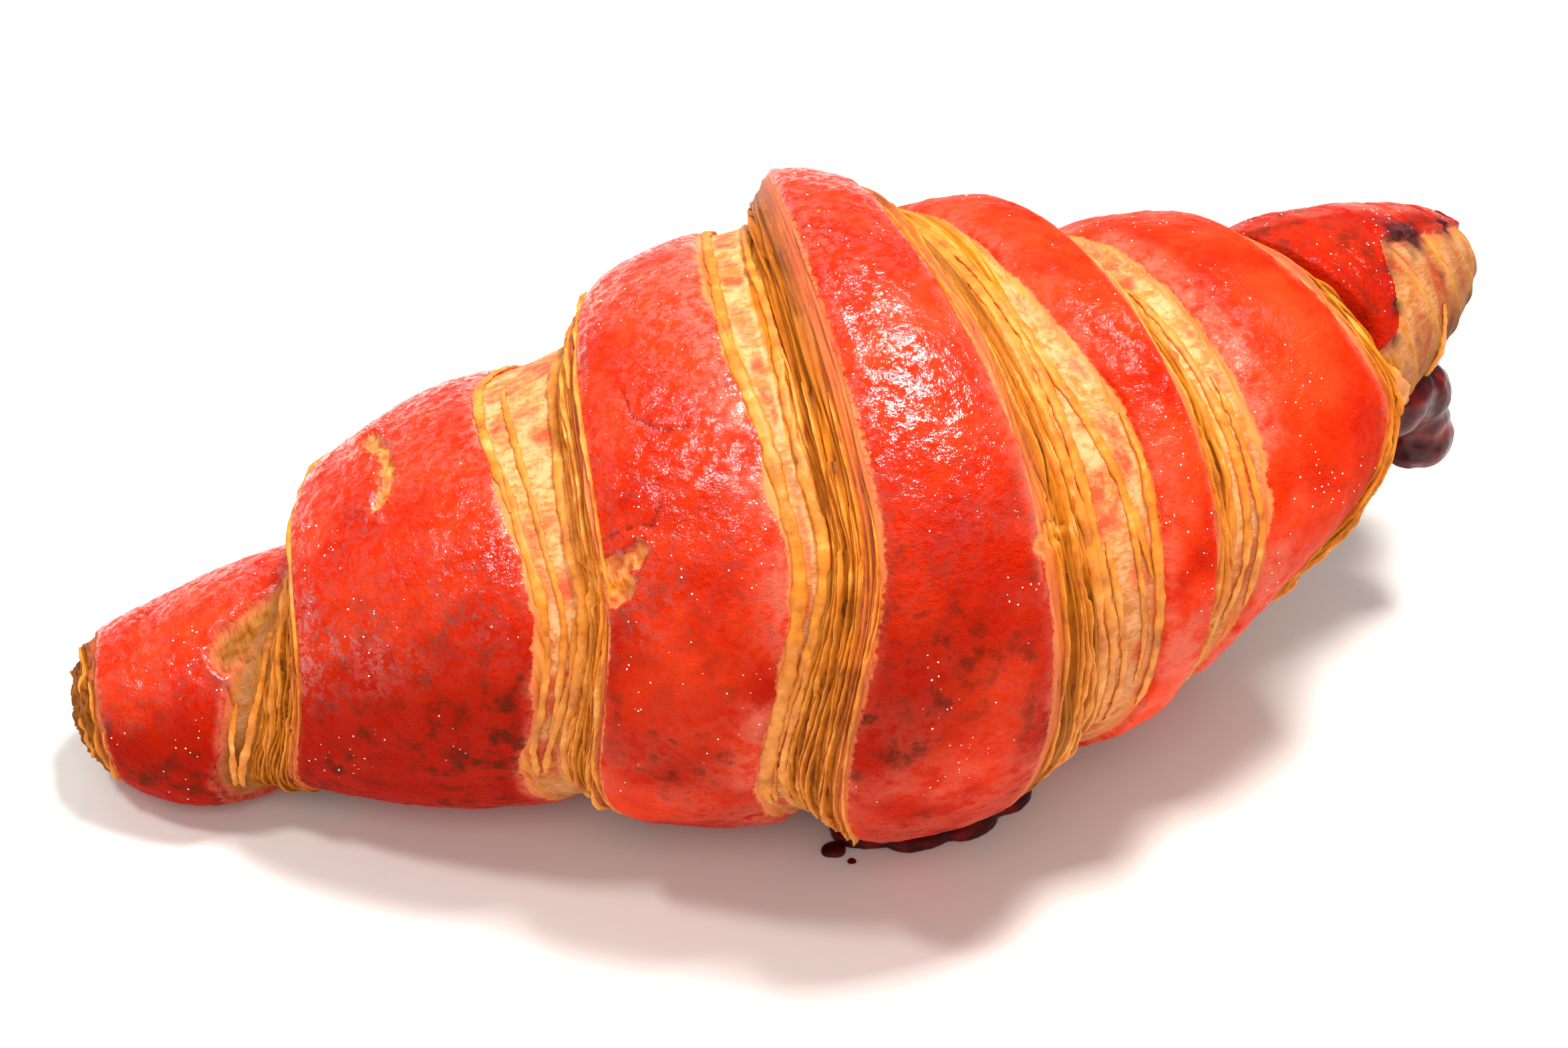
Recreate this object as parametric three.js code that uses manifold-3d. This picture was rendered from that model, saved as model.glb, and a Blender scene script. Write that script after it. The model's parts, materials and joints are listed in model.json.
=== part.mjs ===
// A filled croissant: a rolled, baked wedge of laminated dough with two-colour wraps,
// and two places where its jam filling has oozed out. Millimetres, +Z up, resting on z = 0.
import * as THREE from 'three';
import { mergeVertices } from 'three/addons/utils/BufferGeometryUtils.js';
import Module from 'manifold-3d';

// Roll axis: [x, y, z, radius] from the left tip, over the middle wrap, to the raised right tip.
const rollAxis = [
  [-87.0, 11.5, 8.6, 4.0],
  [-83.0, 11.2, 9.2, 8.3],
  [-73.0, 10.3, 10.5, 11.0],
  [-50.0, 7.2, 18.5, 19.5],
  [-23.0, 2.6, 27.0, 28.2],
  [0.0, 0.6, 32.2, 34.8],
  [13.0, 1.9, 31.0, 31.4],
  [26.0, 4.6, 30.2, 27.8],
  [43.0, 9.5, 30.8, 23.2],
  [65.0, 20.8, 35.6, 12.6],
  [77.5, 28.5, 37.4, 4.0],
];
const widthFactor = 1.07; // the dough slumps a little while it proves
const heightFactor = 0.93;
const clearance = 0.3; // gap kept between the pastry and its jam

// Angles round the roll where each wrap edge is given: back, top, front, low front.
const edgeAngles = [-120, -20, 50, 115];
const around = 40; // facets round the roll

// Wrap edges, left to right. at: place along the axis at each of edgeAngles.
// height: distance off the axis, or lift: height over the roll's own radius at each of edgeAngles.
// rows: facet rows from the edge before, bulge: how far those rows swell between the two,
// rise: how far this part of the roll stands above the axis.
const even = (value) => [value, value, value, value];
const edges = [
  { at: even(-86.6), height: 3.8, rows: 1, bulge: 0 },
  { at: even(-85.2), height: 6.4, rows: 1, bulge: 0 },
  { at: even(-83.0), height: 8.6, rows: 1, bulge: 0 },
  { at: [-50.5, -55.2, -61.8, -69.0], height: 12.4, rows: 6, bulge: 1.6 }, // foot of wrap two
  { at: [-47.0, -54.2, -56.8, -63.8], lift: [1.2, 2.2, 1.4, 0], rows: 2, bulge: 0.3 },
  { at: [-30.0, -35.6, -31.2, -39.0], lift: [0.5, 0.3, 0.5, -0.4], rows: 5, bulge: 1.2 },
  { at: [-20.0, -26.0, -26.3, -34.4], lift: [-1.2, -1.8, -1.8, -1.2], rows: 2, bulge: 0 },
  { at: [-18.0, -23.0, -24.0, -31.0], lift: [1.2, 2.4, 1.6, 0.8], rows: 2, bulge: 0.2 },
  { at: [-9.5, -10.0, -8.2, -17.3], lift: even(0.4), rows: 4, bulge: 0.6 },
  { at: [-5.2, -6.2, -5.8, -14.2], lift: [0, -1, -1, -1], rows: 2, bulge: 0 }, // middle wrap
  { at: [-4.0, -3.8, -2.8, -9.4], lift: [0.6, 3.8, 2.6, 2.2], rows: 2, bulge: 0.3 },
  { at: [0.5, 1.4, 5.2, 7.0], lift: [0.4, 1.4, 2.1, 1.4], rows: 4, bulge: 0.9 },
  { at: [2.0, 4.2, 9.8, 14.0], lift: [-0.8, -1.2, -1.2, -1.8], rows: 2, bulge: 0.2 },
  { at: [7.0, 10.4, 18.7, 18.6], lift: [-0.5, -0.5, -0.5, -1.6], rows: 2, bulge: 0 },
  { at: [14.0, 21.4, 25.0, 22.4], lift: [1.6, 3.2, 1.8, -1.6], rows: 3, bulge: 0.5 },
  { at: [17.0, 26.0, 28.8, 25.8], lift: [-1.2, -1.2, -1.2, -3.2], rows: 1, bulge: 0 },
  { at: [20.0, 32.0, 34.0, 28.6], lift: [-0.4, -0.4, -0.4, -3.0], rows: 1, bulge: 0 },
  { at: [40.0, 49.0, 48.8, 35.0], lift: [2.0, 3.6, 2.2, -5.6], rows: 5, bulge: 0.8 },
  { at: [42.0, 49.8, 51.2, 40.0], lift: [-1, 0.6, 1.6, -5], rows: 2, bulge: 0.4 },
  { at: [44.0, 50.6, 52.6, 44.0], height: 14.2, rows: 2, bulge: 0.4, rise: 6.4 }, // raised tip
  { at: even(56), height: 13.0, rows: 2, bulge: 0, rise: 6.2 },
  { at: even(61), height: 11.3, rows: 2, bulge: 0, rise: 5.0 },
  { at: even(66), height: 9.2, rows: 2, bulge: 0, rise: 3.9 },
  { at: even(70), height: 7.1, rows: 2, bulge: 0, rise: 3.1 },
  { at: even(73), height: 5.0, rows: 1, bulge: 0, rise: 2.6 },
  { at: even(74.7), height: 2.9, rows: 1, bulge: 0, rise: 2.3 },
];
const tipEnd = { at: 75.2, rise: 2.2 };

// A smooth curve through the knots that never swings past them.
function smoothThrough(knots, values, x) {
  const last = knots.length - 1;
  const secant = (i) => (values[i + 1] - values[i]) / (knots[i + 1] - knots[i]);
  const slope = (i) => {
    if (i === 0) return secant(0);
    if (i === last) return secant(last - 1);
    const before = secant(i - 1);
    const after = secant(i);
    if (before * after <= 0) return 0;
    const limit = 3 * Math.min(Math.abs(before), Math.abs(after));
    return Math.sign(after) * Math.min(Math.abs(before + after) / 2, limit);
  };
  let i = 0;
  while (i < last - 1 && x > knots[i + 1]) i += 1;
  const span = knots[i + 1] - knots[i];
  const t = (x - knots[i]) / span;
  const rise = values[i + 1] - values[i];
  const a = slope(i) * span - rise;
  const b = rise - slope(i + 1) * span;
  return values[i] + rise * t + t * (1 - t) * (a * (1 - t) + b * t);
}

const axisColumn = (k) => rollAxis.map((station) => station[k]);
const [axisX, axisY, axisZ, axisRadius] = [0, 1, 2, 3].map(axisColumn);
const rollRadius = (x) => smoothThrough(axisX, axisRadius, x);
const axisPoint = (x) => new THREE.Vector3(
  x, smoothThrough(axisX, axisY, x), smoothThrough(axisX, axisZ, x));

// A value given at edgeAngles, at any angle. Past the low front it runs back under the roll.
function roundTheRoll(values, degrees) {
  const turns = [-360, 0, 360];
  const knots = turns.flatMap((turn) => edgeAngles.map((angle) => angle + turn));
  return smoothThrough(knots, turns.flatMap(() => values), degrees);
}

function heightAt(edge, x, degrees) {
  if (edge.height !== undefined) return edge.height;
  return rollRadius(x) + roundTheRoll(edge.lift, degrees);
}

// Point on the pastry at a place along the axis, an angle from the top and a height off the axis.
function surfacePoint(x, degrees, height, rise, floor) {
  const step = 0.5;
  const along = axisPoint(x + step).sub(axisPoint(x - step)).normalize();
  const side = new THREE.Vector3().crossVectors(along, new THREE.Vector3(0, 0, 1)).normalize();
  const up = new THREE.Vector3().crossVectors(side, along);
  const angle = THREE.MathUtils.degToRad(degrees);
  const point = axisPoint(x);
  point.addScaledVector(up, height * heightFactor * Math.cos(angle));
  point.addScaledVector(side, height * widthFactor * Math.sin(angle));
  point.z = Math.max(point.z + rise, floor);
  return point;
}

// The whole pastry as one closed skin: rows of facets between the wrap edges, and two tips.
function pastryGeometry(grow, floor) {
  const ring = Array.from({ length: around }, (_, j) => -180 + (360 * j) / around);
  const rows = [];
  edges.forEach((edge, k) => {
    const before = k > 0 ? edges[k - 1] : edge;
    const count = k > 0 ? edge.rows : 1;
    for (let i = 1; i <= count; i += 1) {
      const t = i / count;
      rows.push(ring.map((degrees) => {
        const from = roundTheRoll(before.at, degrees);
        const to = roundTheRoll(edge.at, degrees);
        const low = heightAt(before, from, degrees);
        const high = heightAt(edge, to, degrees);
        const height = THREE.MathUtils.lerp(low, high, t) + edge.bulge * Math.sin(Math.PI * t);
        const rise = THREE.MathUtils.lerp(before.rise ?? 0, edge.rise ?? 0, t);
        return surfacePoint(THREE.MathUtils.lerp(from, to, t), degrees, height + grow, rise, floor);
      }));
    }
  });
  const leftTip = axisPoint(axisX[0] - grow);
  const rightTip = axisPoint(tipEnd.at + grow);
  rightTip.z += tipEnd.rise;
  const positions = [...rows.flat(), leftTip, rightTip].flatMap((p) => [p.x, p.y, p.z]);
  const leftIndex = rows.length * around;
  const rightIndex = leftIndex + 1;
  const faces = [];
  for (let j = 0; j < around; j += 1) {
    const next = (j + 1) % around;
    for (let i = 0; i < rows.length - 1; i += 1) {
      const a = i * around + j;
      const b = i * around + next;
      const c = a + around;
      const d = b + around;
      faces.push(a, b, c, b, d, c);
    }
    const lastRow = (rows.length - 1) * around;
    faces.push(leftIndex, next, j, rightIndex, lastRow + j, lastRow + next);
  }
  const geometry = new THREE.BufferGeometry();
  geometry.setAttribute('position', new THREE.Float32BufferAttribute(positions, 3));
  geometry.setIndex(faces);
  return geometry;
}

const wasm = await Module();
wasm.setup();

function toSolid(source) {
  const bare = source.clone();
  bare.deleteAttribute('normal');
  bare.deleteAttribute('uv');
  const merged = mergeVertices(bare, 1e-4);
  return new wasm.Manifold(new wasm.Mesh({
    numProp: 3,
    vertProperties: new Float32Array(merged.attributes.position.array),
    triVerts: new Uint32Array(merged.index.array),
  }));
}

function toGeometry(solid) {
  const mesh = solid.getMesh();
  const geometry = new THREE.BufferGeometry();
  geometry.setAttribute('position', new THREE.BufferAttribute(mesh.vertProperties, mesh.numProp));
  geometry.setIndex(new THREE.BufferAttribute(mesh.triVerts, 1));
  return geometry;
}

// Jam is a cluster of rounded lobes: [x, y, z, half length, half width, half height].
function jamGeometry(lobes) {
  const solids = lobes.map(([x, y, z, a, b, c]) => {
    const lobe = new THREE.SphereGeometry(1, 20, 12);
    lobe.scale(a, b, c);
    lobe.translate(x, y, z);
    return toSolid(lobe);
  });
  const cluster = solids.reduce((sum, solid) => sum.add(solid));
  const table = new THREE.BoxGeometry(200, 200, 20);
  table.translate(0, 0, -10);
  const clear = cluster.subtract(toSolid(pastryGeometry(clearance, -5))).subtract(toSolid(table));
  const largest = clear.decompose().sort((p, q) => q.volume() - p.volume())[0];
  return toGeometry(largest);
}

// Jam that has pushed out between the last two wraps, under the raised right tip.
const tipLobes = [
  [57.0, 7.0, 32.6, 5.0, 4.5, 5.5],
  [61.8, 9.2, 31.8, 5.0, 4.5, 6.0],
  [65.4, 10.6, 30.8, 4.2, 4.2, 5.4],
  [67.0, 11.4, 24.2, 4.0, 4.0, 5.0],
];
// A low pool that has seeped out under the front of the middle wrap.
const poolLobes = [
  [0.0, -15.8, 0.4, 6.5, 4.4, 1.9],
  [6.0, -16.2, 0.4, 6.0, 4.0, 1.7],
  [11.5, -13.8, 0.3, 4.5, 3.4, 1.4],
];

function baked(name, geometry, colour, roughness) {
  const material = new THREE.MeshStandardMaterial({ color: colour, roughness, metalness: 0 });
  const mesh = new THREE.Mesh(geometry, material);
  mesh.name = name;
  return mesh;
}

const group = new THREE.Group();
group.add(baked('croissant', pastryGeometry(0, 0), '#e2503c', 0.4));
group.add(baked('jam_tip', jamGeometry(tipLobes), '#4a1420', 0.2));
group.add(baked('jam_pool', jamGeometry(poolLobes), '#4a1420', 0.2));

// The origin is the middle of the underside of the whole object's box.
const box = new THREE.Box3().setFromObject(group);
group.position.set(-(box.min.x + box.max.x) / 2, -(box.min.y + box.max.y) / 2, -box.min.z);

export default group;
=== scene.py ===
import bpy
import json
import math
import numpy as np
from functools import partial
from types import SimpleNamespace
from mathutils import Matrix, Vector


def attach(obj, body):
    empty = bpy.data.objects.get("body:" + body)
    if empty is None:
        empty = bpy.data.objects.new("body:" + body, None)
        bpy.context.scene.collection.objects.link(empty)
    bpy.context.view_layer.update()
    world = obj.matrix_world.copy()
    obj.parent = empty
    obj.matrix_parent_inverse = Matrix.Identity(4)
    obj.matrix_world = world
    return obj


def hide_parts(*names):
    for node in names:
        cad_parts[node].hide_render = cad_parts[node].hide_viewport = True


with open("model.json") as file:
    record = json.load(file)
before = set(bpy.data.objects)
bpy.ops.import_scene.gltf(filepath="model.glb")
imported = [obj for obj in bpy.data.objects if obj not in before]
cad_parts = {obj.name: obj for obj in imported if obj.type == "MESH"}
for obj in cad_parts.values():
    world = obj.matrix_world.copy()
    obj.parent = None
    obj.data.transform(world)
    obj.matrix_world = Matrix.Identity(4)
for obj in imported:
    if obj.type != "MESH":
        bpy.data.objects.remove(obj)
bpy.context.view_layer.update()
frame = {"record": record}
mm = 0.001

# the roll: one tapering, bent body of dough that every wrap sits on, in mm
roll = {
    # x, y, z, radius from the left tip, over the middle wrap, to the raised right tip
    "axis": [
        (-87.0, 11.5, 8.6, 4.0), (-83.0, 11.2, 9.2, 8.3), (-73.0, 10.3, 10.5, 11.0),
        (-50.0, 7.2, 18.5, 19.5), (-23.0, 2.6, 27.0, 28.2), (0.0, 0.6, 32.2, 34.8),
        (13.0, 1.9, 31.0, 31.4), (26.0, 4.6, 30.2, 27.8), (43.0, 9.5, 30.8, 23.2),
        (65.0, 20.8, 35.6, 12.6), (77.5, 28.5, 37.4, 4.0),
    ],
    "width": 1.07,  # the dough slumps a little while it proves
    "height": 0.93,
    "angles": (-120, -20, 50, 115),  # back, top, front, low front: where wrap edges are given
}
# the resting face is straight under x = 0 of the roll, which ties the roll to the frame
restingPoint = np.array(frame["record"]["mounts"][0]["pos_m"]) / mm
rollShift = restingPoint - np.array((0.0, 0.6, 0.0))


def smoothThrough(knots, values, x):  # a curve through the knots that never swings past them
    knots = np.asarray(knots, float)
    values = np.asarray(values, float)
    secants = np.diff(values) / np.diff(knots)
    slopes = np.concatenate([secants[:1], (secants[:-1] + secants[1:]) / 2, secants[-1:]])
    limit = 3 * np.minimum(abs(secants[:-1]), abs(secants[1:]))
    held = np.sign(secants[1:]) * np.minimum(abs(slopes[1:-1]), limit)
    slopes[1:-1] = np.where(secants[:-1] * secants[1:] <= 0, 0, held)
    i = np.clip(np.searchsorted(knots, x, side="left") - 1, 0, len(knots) - 2)
    span = knots[i + 1] - knots[i]
    t = (x - knots[i]) / span
    rise = values[i + 1] - values[i]
    a = slopes[i] * span - rise
    b = rise - slopes[i + 1] * span
    return values[i] + rise * t + t * (1 - t) * (a * (1 - t) + b * t)


axisTable = np.array(roll["axis"])


def axisPoint(x):
    y = smoothThrough(axisTable[:, 0], axisTable[:, 1], x)
    z = smoothThrough(axisTable[:, 0], axisTable[:, 2], x)
    return np.stack([x, y, z], -1)


def rollRadius(x):
    return smoothThrough(axisTable[:, 0], axisTable[:, 3], x)


def roundTheRoll(value, degrees):  # a number, or four of them at the roll's angles
    if np.isscalar(value):
        return np.full_like(degrees, float(value))
    knots = np.concatenate([np.array(roll["angles"]) + turn for turn in (-360, 0, 360)])
    return smoothThrough(knots, np.tile(value, 3), degrees)


def unit(vectors):
    return vectors / np.maximum(np.linalg.norm(vectors, axis=-1, keepdims=True), 1e-9)


def rollPoint(x, degrees, height, rise):
    along = unit(axisPoint(x + 0.5) - axisPoint(x - 0.5))
    side = unit(np.cross(along, (0.0, 0.0, 1.0)))
    up = np.cross(side, along)
    angle = np.radians(degrees)
    point = axisPoint(x)
    point = point + up * (height * roll["height"] * np.cos(angle))[..., None]
    point = point + side * (height * roll["width"] * np.sin(angle))[..., None]
    point[..., 2] += rise
    return point


def noise(points, size, seed):  # smooth lumps of the given size, from about -1 to 1
    p = np.asarray(points, float) / size + seed * 17.31
    cell = np.floor(p).astype(np.int64)
    f = p - cell
    w = f * f * f * (f * (f * 6 - 15) + 10)
    total = np.zeros(p.shape[:-1])
    for corner in range(8):
        c = np.array([(corner >> k) & 1 for k in range(3)])
        q = cell + c
        # each corner of the lattice gets a slope of its own from a hash of its place
        h = q[..., 0] * 374761393 + q[..., 1] * 668265263 + q[..., 2] * 1440662683 + seed * 1013
        h = (h & 0xFFFFFFFF) ^ ((h & 0xFFFFFFFF) >> 13)
        h = (h * 1274126177) & 0xFFFFFFFF
        h = h ^ (h >> 16)
        slope = np.stack([(h >> shift) & 1023 for shift in (0, 10, 20)], -1) / 511.5 - 1
        weight = np.prod(np.where(c, w, 1 - w), axis=-1)
        total += weight * np.sum(slope * (f - c), axis=-1)
    return total * 1.7


def cloud(points, size, seed, octaves=3):
    return sum(noise(points, size / 2 ** k, seed + k) / 2 ** k for k in range(octaves)) / 1.5


def ease(low, high, x):
    t = np.clip((x - low) / (high - low), 0, 1)
    return t * t * (3 - 2 * t)


def makeMesh(name, points, faces, attributes=None, material=None, edges=()):  # points in mm
    mesh = bpy.data.meshes.new(name)
    mesh.from_pydata((points * mm).tolist(), edges, faces)
    for key, values in (attributes or {}).items():
        isVector = values.ndim == 2
        data = mesh.attributes.new(key, "FLOAT_VECTOR" if isVector else "FLOAT", "POINT").data
        data.foreach_set("vector" if isVector else "value", np.ravel(values).astype(np.float32))
    mesh.polygons.foreach_set("use_smooth", np.ones(len(mesh.polygons), bool))
    if material:
        mesh.materials.append(material)
    mesh.update()
    piece = bpy.data.objects.new(name, mesh)
    bpy.context.scene.collection.objects.link(piece)
    return piece


def linearColour(code):  # sRGB hex to the linear colour a shader wants
    channels = [int(code[k:k + 2], 16) / 255 for k in (1, 3, 5)]
    return [c / 12.92 if c <= 0.04045 else ((c + 0.055) / 1.055) ** 2.4 for c in channels] + [1.0]


def addNode(tree, kind, settings=None, links=None, out=0):
    node = tree.nodes.new(kind)
    for key, value in (settings or {}).items():
        if key == "stops":  # places and hex colours of a ramp
            ramp = node.color_ramp
            while len(ramp.elements) < len(value):
                ramp.elements.new(0.5)
            for element, (place, code) in zip(ramp.elements, value):
                element.position = place
                element.color = linearColour(code)
        else:
            setattr(node, key, value)
    for key, value in (links or {}).items():
        socket = node.inputs[key]
        if isinstance(value, bpy.types.NodeSocket):
            tree.links.new(value, socket)
        elif isinstance(value, str) and value.startswith("#"):
            socket.default_value = linearColour(value)
        else:
            socket.default_value = value
    return node.outputs[out] if out is not None and len(node.outputs) > 0 else node


def newMaterial(name):
    material = bpy.data.materials.new(name)
    material.use_nodes = True
    material.node_tree.nodes.clear()
    return material, material.node_tree


def perMillimetre(size):  # noise scale for features of this size in mm
    return 1 / (size * mm)


# Egg-washed, sugar-glazed croissant crust: a sheet of red-dyed dough over plain laminated dough.
# The dye bakes from coral to deep red with browned blotches, under a thin glaze that looks wet; the
# deeper red towards the front is partly painted shade, the paler dye low down partly painted sheen.
# Where the sheet ends the golden leaves show: amber crests, caramel sides, painted shade in the
# gaps, pale film.
crustLook = {
    "dye": "#d62c08", "dyeBright": "#e63e18", "dyeShade": "#bf1e05", "dyeDeep": "#9a1002",
    "paleDyeAndSheen": "#e46a54", "dyeBrowned": "#5c1806", "dough": "#d87c1c", "doughPale": "#eca850",
    "doughDeep": "#a85a12", "gap": "#5a2c08", "film": "#f2b07a", "filmDeep": "#d47f3c",
    "filmPink": "#de5a36", "toast": "#7a4216", "char": "#35131a",
    "edgeGrain": 0.7, "blotch": 9.0, "mottle": 2.4, "peel": 0.75, "pore": 0.22,  # sizes in mm
    "glazeBreak": 1.2, "fibre": 0.45, "thread": 0.55, "peelDepth": 0.38, "glazeDepth": 0.17,
    "gloss": 0.08,
}


def makeCrust():
    material, tree = newMaterial("glazed bicolour crust")
    look = crustLook
    add = partial(addNode, tree)
    place = add("ShaderNodeTexCoord", out=3)
    read = {key: add("ShaderNodeAttribute", {"attribute_name": key}, out=2)
            for key in ("skin", "groove", "film", "toast", "deep", "faded", "char", "wet")}
    grain = add("ShaderNodeAttribute", {"attribute_name": "grain"}, out=1)
    acrossLeaf = add("ShaderNodeVectorMath", {"operation": "MULTIPLY"}, {
        0: grain, 1: (0.6, 7.0, 7.0)})
    patterns = {  # read from, size in mm, detail, roughness
        "blotch": (place, look["blotch"], 5.0, 0.6), "mottle": (place, look["mottle"], 4.0, 0.65),
        "peel": (place, look["peel"], 3.0, 0.6), "fine": (place, look["pore"], 2.0, 0.55),
        "ragged": (place, look["edgeGrain"], 3.0, 0.55),
        "dryPatch": (place, look["glazeBreak"], 6.0, 0.75),
        "alongLeaf": (grain, look["fibre"], 4.0, 0.6),
        "threads": (acrossLeaf, look["thread"], 5.0, 0.7),
    }
    seen = {name: add("ShaderNodeTexNoise", {}, {
        "Vector": vector, "Scale": perMillimetre(size), "Detail": detail, "Roughness": rough})
        for name, (vector, size, detail, rough) in patterns.items()}
    weighted = {  # a value times a number, plus another
        "torn": (seen["ragged"], 0.8, read["skin"]), "fibre": (seen["alongLeaf"], 0.9, -0.45),
        "spotted": (read["deep"], 0.9, 0.06), "uneven": (seen["blotch"], 1.3, 0.1),
        "streaks": (seen["threads"], 0.55, 0.0), "skinHeight": (seen["fine"], 0.3, seen["peel"]),
        "gloss": (read["wet"], look["gloss"], 0.02), "deep": (read["deep"], 0.9, 0.0),
    }
    value = {name: add("ShaderNodeMath", {"operation": "MULTIPLY_ADD"}, {0: a, 1: b, 2: c})
             for name, (a, b, c) in weighted.items()}
    crest = add("ShaderNodeMath", {"operation": "ADD"}, {0: value["fibre"], 1: read["groove"]})
    weave = add("ShaderNodeMath", {"operation": "MULTIPLY_ADD"}, {
        0: seen["mottle"], 1: 0.45, 2: value["streaks"]})
    limits = {  # smooth steps from none to the last number
        "sheet": (value["torn"], 0.3, 0.6, 1.0), "bleed": (value["torn"], -1.2, 0.55, 0.55),
        "fadedPatch": (seen["mottle"], 0.3, 0.65, 1.0), "blot": (seen["blotch"], 0.36, 0.56, 1.0),
        "speckle": (seen["mottle"], 0.46, 0.66, 1.0), "pore": (seen["fine"], 0.62, 0.72, 0.45),
        "pinkPatch": (seen["mottle"], 0.36, 0.6, 1.0), "pinkFilm": (read["film"], 0.5, 1.0, 1.0),
        "thread": (weave, 0.4, 0.58, 1.0), "filmShown": (read["film"], 0.1, 0.5, 1.0),
        "glazed": (seen["dryPatch"], 0.47, 0.52, 1.0),
    }
    share = {name: add("ShaderNodeMapRange", {"interpolation_type": "SMOOTHSTEP"},
                       {0: source, 1: low, 2: high, 4: top})
             for name, (source, low, high, top) in limits.items()}
    for name, first, second in (  # where two of them have to agree
            ("faded", read["faded"], "fadedPatch"), ("spots", share["speckle"], "blot"),
            ("browned", value["spotted"], "spots"), ("pink", share["pinkPatch"], "pinkFilm"),
            ("wetSheet", read["wet"], "sheet"), ("shine", share["glazed"], "wetSheet")):
        share[name] = add("ShaderNodeMath", {"operation": "MULTIPLY"}, {0: first, 1: share[second]})
    # browning, with painted shade on the lower sides
    toastedAndShaded = add("ShaderNodeMath", {"operation": "MULTIPLY"}, {
        0: value["uneven"], 1: read["toast"]})
    # dyed sheet, stretched film and laminated dough, each painted in layers
    red = add("ShaderNodeValToRGB", {
        "stops": [(0.34, look["dyeShade"]), (0.47, look["dye"]), (0.62, look["dyeBright"])]},
        {0: seen["blotch"]})
    # the deep red and the browned spots it brings are partly painted shade towards the front, the
    # pale dye partly painted sheen
    for amount, paint in ((value["deep"], look["dyeDeep"]), (share["faded"], look["paleDyeAndSheen"]),
                          (share["browned"], look["dyeBrowned"]), (share["pore"], look["dyeDeep"])):
        red = add("ShaderNodeMix", {"data_type": "RGBA"}, {0: amount, 6: red, 7: paint}, out=2)
    film = look["filmDeep"]
    for amount, paint in ((share["thread"], look["film"]), (share["pink"], look["filmPink"])):
        film = add("ShaderNodeMix", {"data_type": "RGBA"}, {0: amount, 6: film, 7: paint}, out=2)
    # from pale crests to painted shade deep in the gaps between the leaves
    colour = add("ShaderNodeValToRGB", {
        "stops": [(0.0, look["doughPale"]), (0.3, look["dough"]), (0.62, look["doughDeep"]),
                  (0.95, look["gap"])]}, {0: crest})
    for amount, paint in ((share["filmShown"], film), (toastedAndShaded, look["toast"]),
                          (share["bleed"], look["paleDyeAndSheen"]), (share["sheet"], red),
                          (read["char"], look["char"])):
        colour = add("ShaderNodeMix", {"data_type": "RGBA"}, {
            0: amount, 6: colour, 7: paint}, out=2)
    # the glazed sheet is wet with an orange-peel skin, the leaves are dry and fibrous
    rough = add("ShaderNodeMapRange", {}, {0: seen["mottle"], 1: 0.35, 2: 0.7, 3: 0.28, 4: 0.5})
    rough = add("ShaderNodeMix", {"data_type": "FLOAT"}, {0: share["sheet"], 2: 0.45, 3: rough})
    height = add("ShaderNodeMix", {"data_type": "FLOAT"}, {
        0: read["film"], 2: seen["alongLeaf"], 3: seen["threads"]})
    height = add("ShaderNodeMix", {"data_type": "FLOAT"}, {
        0: share["sheet"], 2: height, 3: value["skinHeight"]})
    bump = add("ShaderNodeBump", {}, {"Height": height, "Distance": look["peelDepth"] * mm})
    # the glaze dried in broken patches, so its shine breaks up into small wet flecks
    wetBump = add("ShaderNodeBump", {}, {
        "Height": value["skinHeight"], "Distance": look["glazeDepth"] * mm})
    shader = add("ShaderNodeBsdfPrincipled", {}, {
        "Base Color": colour, "Roughness": rough, "Normal": bump, "IOR": 1.4,
        "Specular IOR Level": value["gloss"], "Subsurface Weight": 0.1,
        "Subsurface Radius": (1.0, 0.3, 0.12), "Subsurface Scale": 0.8 * mm,
        "Coat Weight": share["shine"], "Coat Roughness": 0.08, "Coat IOR": 1.9,
        "Coat Normal": wetBump})
    add("ShaderNodeOutputMaterial", {}, {"Surface": shader}, out=None)
    return material


# Thin loose leaf of baked dough: crisp, dry, slightly see-through at its edge, gold to caramel.
leafLook = {
    "streaks": (3.0, 5.0, 0.65), "bumps": (0.4, 2.0, 0.5),  # size in mm, detail, roughness
    "stops": [(0.3, "#a85a14"), (0.46, "#d27a1e"), (0.6, "#e4902f"), (0.74, "#f0b468")],
    "bumpStrength": 0.5, "bumpDepth": 0.1,  # mm
    "surface": {"Roughness": 0.5, "IOR": 1.45, "Subsurface Weight": 0.15,
                "Subsurface Radius": (1.0, 0.5, 0.2), "Subsurface Scale": 0.8 * mm},
}
# Boiled berry jam: nearly black-red and wet, with small lumps of fruit under its skin.
jamLook = {
    "streaks": (2.5, 4.0, 0.5), "bumps": (2.5, 4.0, 0.5),
    "stops": [(0.3, "#2e060a"), (0.5, "#4e0c10"), (0.7, "#861814")],
    "bumpStrength": 0.6, "bumpDepth": 0.3,
    "surface": {"Roughness": 0.35, "IOR": 1.44, "Specular IOR Level": 0.2,
                "Subsurface Weight": 0.2, "Subsurface Radius": (1.0, 0.2, 0.15),
                "Subsurface Scale": 1.5 * mm, "Coat Weight": 0.16, "Coat Roughness": 0.08},
}


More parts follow.
